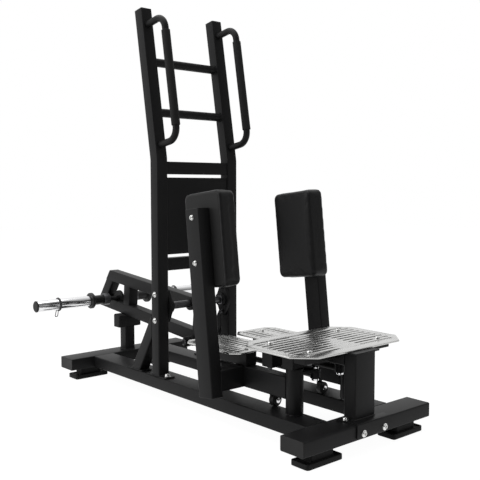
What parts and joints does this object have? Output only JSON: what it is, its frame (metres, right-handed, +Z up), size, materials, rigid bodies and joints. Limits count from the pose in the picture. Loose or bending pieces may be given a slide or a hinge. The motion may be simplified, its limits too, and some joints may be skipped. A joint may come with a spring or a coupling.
{
  "type": "standing hip abductor machine",
  "caption": "Standing hip abductor: swinging padded legs with slotted foot plates push a weighted lever by rods, with a ladder frame of rungs and D handles on a flat tube base.",
  "frame": {"origin": "on the floor, under the middle of the whole machine's outline", "axes": "+X across the machine to its right as the step faces away from the ladder's user, +Y from the fixed step to the weight sleeves, +Z up"},
  "size_m": [0.864, 1.707, 1.5686],
  "materials": {
    "black_steel": "satin black powder coat",
    "brushed_plate": "brushed",
    "chrome": "polished",
    "rubber": "matte",
    "plastic": "matte",
    "leatherette": "smooth upholstery vinyl",
    "board": "black plywood backing",
    "grey_steel": "turned steel"
  },
  "bodies": {
    "base": {"left_base_rail": "black_steel", "right_base_rail": "black_steel", "front_cross_member": "black_steel", "rear_cross_member": "black_steel", "front_left_cap": "plastic", "front_right_cap": "plastic", "rear_left_cap": "plastic", "rear_right_cap": "plastic", "front_left_foot": "rubber", "front_right_foot": "rubber", "rear_left_foot": "rubber", "rear_right_foot": "rubber", "front_post": "black_steel", "step_frame": "black_steel", "step_plate": "brushed_plate", "left_hub_shaft": "grey_steel", "right_hub_shaft": "grey_steel", "left_ladder_post": "black_steel", "right_ladder_post": "black_steel", "lower_rung": "black_steel", "upper_rung": "black_steel", "lower_cross_bar": "black_steel", "upper_cross_bar": "black_steel", "back_panel": "black_steel", "left_post_cap": "plastic", "right_post_cap": "plastic", "left_handle": "black_steel", "right_handle": "black_steel", "left_grip": "rubber", "right_grip": "rubber", "left_brace": "black_steel", "right_brace": "black_steel", "stop_post": "black_steel", "stop_bumper": "rubber", "left_flange_bearing": "black_steel", "right_flange_bearing": "black_steel"},
    "lever": {"lever_axle": "grey_steel", "lever_frame": "black_steel", "lever_cross_pin": "grey_steel", "weight_rod": "grey_steel", "left_stop_collar": "black_steel", "right_stop_collar": "black_steel", "left_plate_sleeve": "chrome", "right_plate_sleeve": "chrome", "left_sleeve_cap": "plastic", "right_sleeve_cap": "plastic"},
    "left_clip": {"left_spring_clip": "chrome"},
    "right_clip": {"right_spring_clip": "chrome"},
    "left_arm": {"left_arm_frame": "black_steel", "left_foot_plate": "brushed_plate", "left_pad_board": "board", "left_pad": "leatherette"},
    "right_arm": {"right_arm_frame": "black_steel", "right_foot_plate": "brushed_plate", "right_pad_board": "board", "right_pad": "leatherette"},
    "left_wheel": {"left_support_wheel": "rubber"},
    "right_wheel": {"right_support_wheel": "rubber"},
    "left_rod": {"left_push_rod": "black_steel"},
    "right_rod": {"right_push_rod": "black_steel"}
  },
  "joints": [
    {"name": "lever_hinge", "type": "hinge", "parent": "base", "child": "lever", "pos_m": [0, 0.08252, 0.376], "axis": [1, 0, 0], "range_deg": [0, 17.5]},
    {"name": "left_arm_hinge", "type": "hinge", "parent": "base", "child": "left_arm", "pos_m": [-0.137, -0.63578, 0.2], "axis": [0, 0, 1], "range_deg": [0, 35]},
    {"name": "right_arm_hinge", "type": "hinge", "parent": "base", "child": "right_arm", "pos_m": [0.137, -0.63578, 0.2], "axis": [0, 0, -1], "range_deg": [0, 35]},
    {"name": "left_rod_hinge", "type": "hinge", "parent": "left_arm", "child": "left_rod", "pos_m": [-0.06261, -0.65924, 0.22361], "axis": [0, 0, -1], "range_deg": [0, 35]},
    {"name": "right_rod_hinge", "type": "hinge", "parent": "right_arm", "child": "right_rod", "pos_m": [0.06261, -0.65924, 0.22361], "axis": [0, 0, 1], "range_deg": [0, 35]},
    {"name": "left_wheel_hinge", "type": "hinge", "parent": "left_arm", "child": "left_wheel", "pos_m": [-0.119, -0.52378, 0.1186], "axis": [0, -1, 0], "range_deg": [0, 185]},
    {"name": "right_wheel_hinge", "type": "hinge", "parent": "right_arm", "child": "right_wheel", "pos_m": [0.119, -0.52378, 0.1186], "axis": [0, 1, 0], "range_deg": [0, 185]},
    {"name": "left_clip_slide", "type": "slide", "parent": "lever", "child": "left_clip", "axis": [-1, 0, 0], "range_m": [-0.145, 0.096]},
    {"name": "right_clip_slide", "type": "slide", "parent": "lever", "child": "right_clip", "axis": [1, 0, 0], "range_m": [-0.145, 0.096]}
  ],
  "couplings": [
    {"joint": "left_arm_hinge", "follows": "lever_hinge", "ratio": 2},
    {"joint": "right_arm_hinge", "follows": "lever_hinge", "ratio": 2},
    {"joint": "left_rod_hinge", "follows": "lever_hinge", "ratio": 2},
    {"joint": "right_rod_hinge", "follows": "lever_hinge", "ratio": 2},
    {"joint": "left_wheel_hinge", "follows": "lever_hinge", "ratio": 10.182},
    {"joint": "right_wheel_hinge", "follows": "lever_hinge", "ratio": 10.182}
  ]
}
